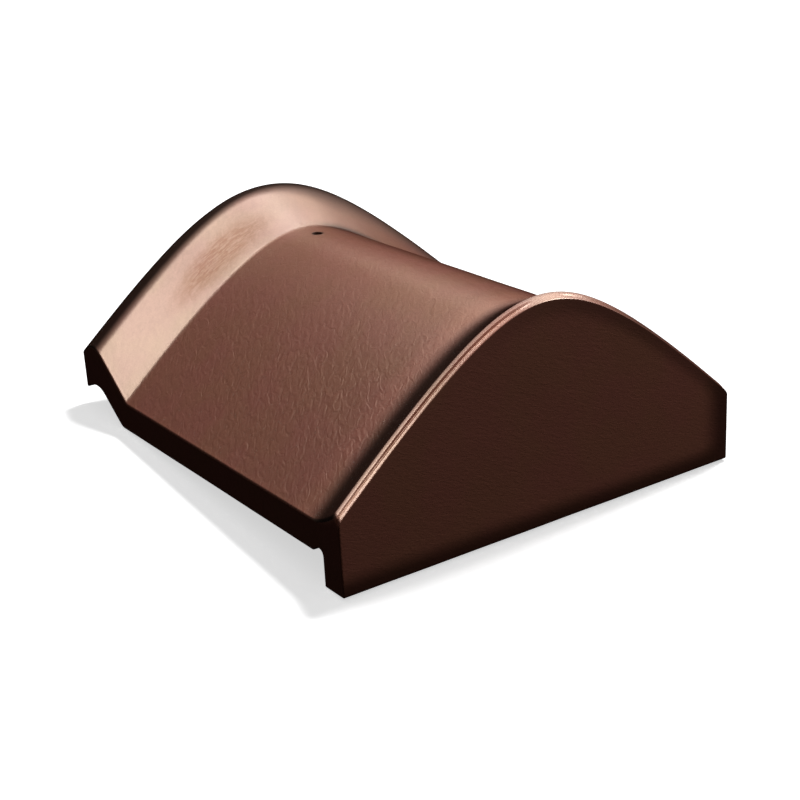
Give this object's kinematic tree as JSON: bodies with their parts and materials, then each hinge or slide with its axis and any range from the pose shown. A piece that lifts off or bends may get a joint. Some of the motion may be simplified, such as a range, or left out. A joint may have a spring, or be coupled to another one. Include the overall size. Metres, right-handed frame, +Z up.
{
  "type": "ridge end cap tile",
  "caption": "Arched concrete ridge tile closed by an end wall with a raised rim, open at a flared collar that laps the next ridge tile, with a nail hole in its crest.",
  "frame": {"origin": "on the ground under the middle of the tile's box, with the tile lying as it lies by itself: on the foot of its end wall and on its eaves by the collar", "axes": "+Y along the ridge from the end wall to the collar's mouth, +X across the ridge to the right seen from the end wall, +Z up; the tile's own ridge line dips about 4.3 degrees towards the mouth"},
  "size_m": [0.25, 0.2866, 0.121],
  "materials": {
    "brown_concrete": "satin"
  },
  "bodies": {
    "root": {"ridge_end_tile": "brown_concrete"}
  },
  "joints": []
}
